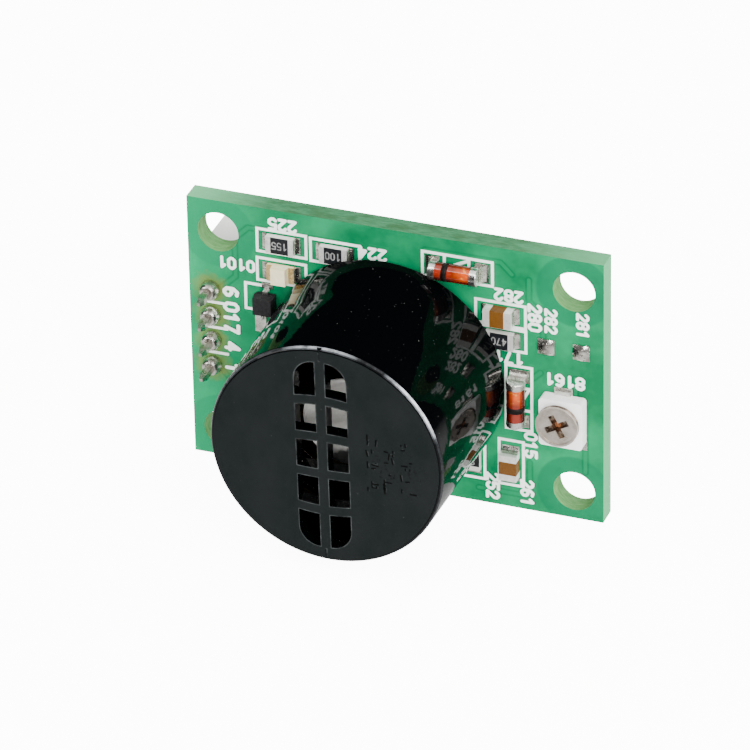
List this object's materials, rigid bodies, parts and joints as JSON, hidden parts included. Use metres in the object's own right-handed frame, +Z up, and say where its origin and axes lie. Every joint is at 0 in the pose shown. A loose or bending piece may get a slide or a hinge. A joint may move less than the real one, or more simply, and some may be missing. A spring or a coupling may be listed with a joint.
{
  "type": "ultrasonic sensor module",
  "caption": "Small green circuit board with one round black ultrasonic transducer, a trimmer, a pin connector and surface-mounted parts.",
  "frame": {"origin": "centre of the four mounting holes, on the board's rear face", "axes": "+X along the board's width, +Z up along its height, +Y out of its rear face; the transducer faces -Y"},
  "size_m": [0.0299, 0.0201, 0.0203],
  "materials": {
    "board": "green solder mask, satin gloss",
    "ink": "white printed ink",
    "solder": "bright tin solder",
    "housing": "black, glossy sides and a matte face",
    "base": "dark moulded base",
    "pins": "tinned pins",
    "silicone": "pale elastic support",
    "plate": "thin vibrating plate",
    "piezo": "piezo ceramic",
    "cone": "thin bright cone",
    "wire": "fine copper wire",
    "connector": "off-white moulding",
    "resistor": "dark glaze over ceramic",
    "capacitor": "brown ceramic",
    "chip_ends": "tinned ends",
    "lamp_base": "pale laminate",
    "lamp_lens": "clear yellowish resin",
    "lamp_ends": "gold plated ends",
    "black_mould": "black moulded body",
    "leads": "tinned leads",
    "diode_glass": "orange glass",
    "diode_caps": "tinned caps",
    "die": "silicon die",
    "trimmer_base": "white base",
    "rotor": "pale stamped metal"
  },
  "bodies": {
    "module": {"circuit_board": "board", "silkscreen": "ink", "test_pads": "solder", "chip_solder": "solder", "rear_solder": "solder", "transducer_housing": "housing", "transducer_base": "base", "terminal_pin_left": "pins", "terminal_pin_right": "pins", "support_ring": "silicone", "vibrating_plate": "plate", "piezo_disc": "piezo", "resonator_cone": "cone", "lead_wires": "wire", "connector_housing": "connector", "connector_pin_1": "pins", "connector_pin_2": "pins", "connector_pin_3": "pins", "connector_pin_4": "pins", "connector_solder": "solder", "resistor_1_body": "resistor", "resistor_1_ends": "chip_ends", "resistor_2_body": "resistor", "resistor_2_ends": "chip_ends", "resistor_3_body": "resistor", "resistor_3_ends": "chip_ends", "resistor_4_body": "resistor", "resistor_4_ends": "chip_ends", "capacitor_1_body": "capacitor", "capacitor_1_ends": "chip_ends", "capacitor_2_body": "capacitor", "capacitor_2_ends": "chip_ends", "lamp_base": "lamp_base", "lamp_lens": "lamp_lens", "lamp_ends": "lamp_ends", "transistor_body": "black_mould", "transistor_leads": "leads", "diode_1_tube": "diode_glass", "diode_1_caps": "diode_caps", "diode_1_die": "die", "diode_2_tube": "diode_glass", "diode_2_caps": "diode_caps", "diode_2_die": "die", "trimmer_base": "trimmer_base", "trimmer_terminals": "leads", "controller_body": "black_mould", "controller_leads": "leads", "amplifier_body": "black_mould", "amplifier_leads": "leads", "rear_chip_bodies": "capacitor", "rear_chip_ends": "chip_ends"},
    "rotor": {"trimmer_rotor": "rotor"}
  },
  "joints": [
    {"name": "trimmer_turn", "type": "hinge", "parent": "module", "child": "rotor", "pos_m": [0.012, -0.0016, -0.00208], "axis": [0, -1, 0], "range_deg": [-130, 130]}
  ]
}
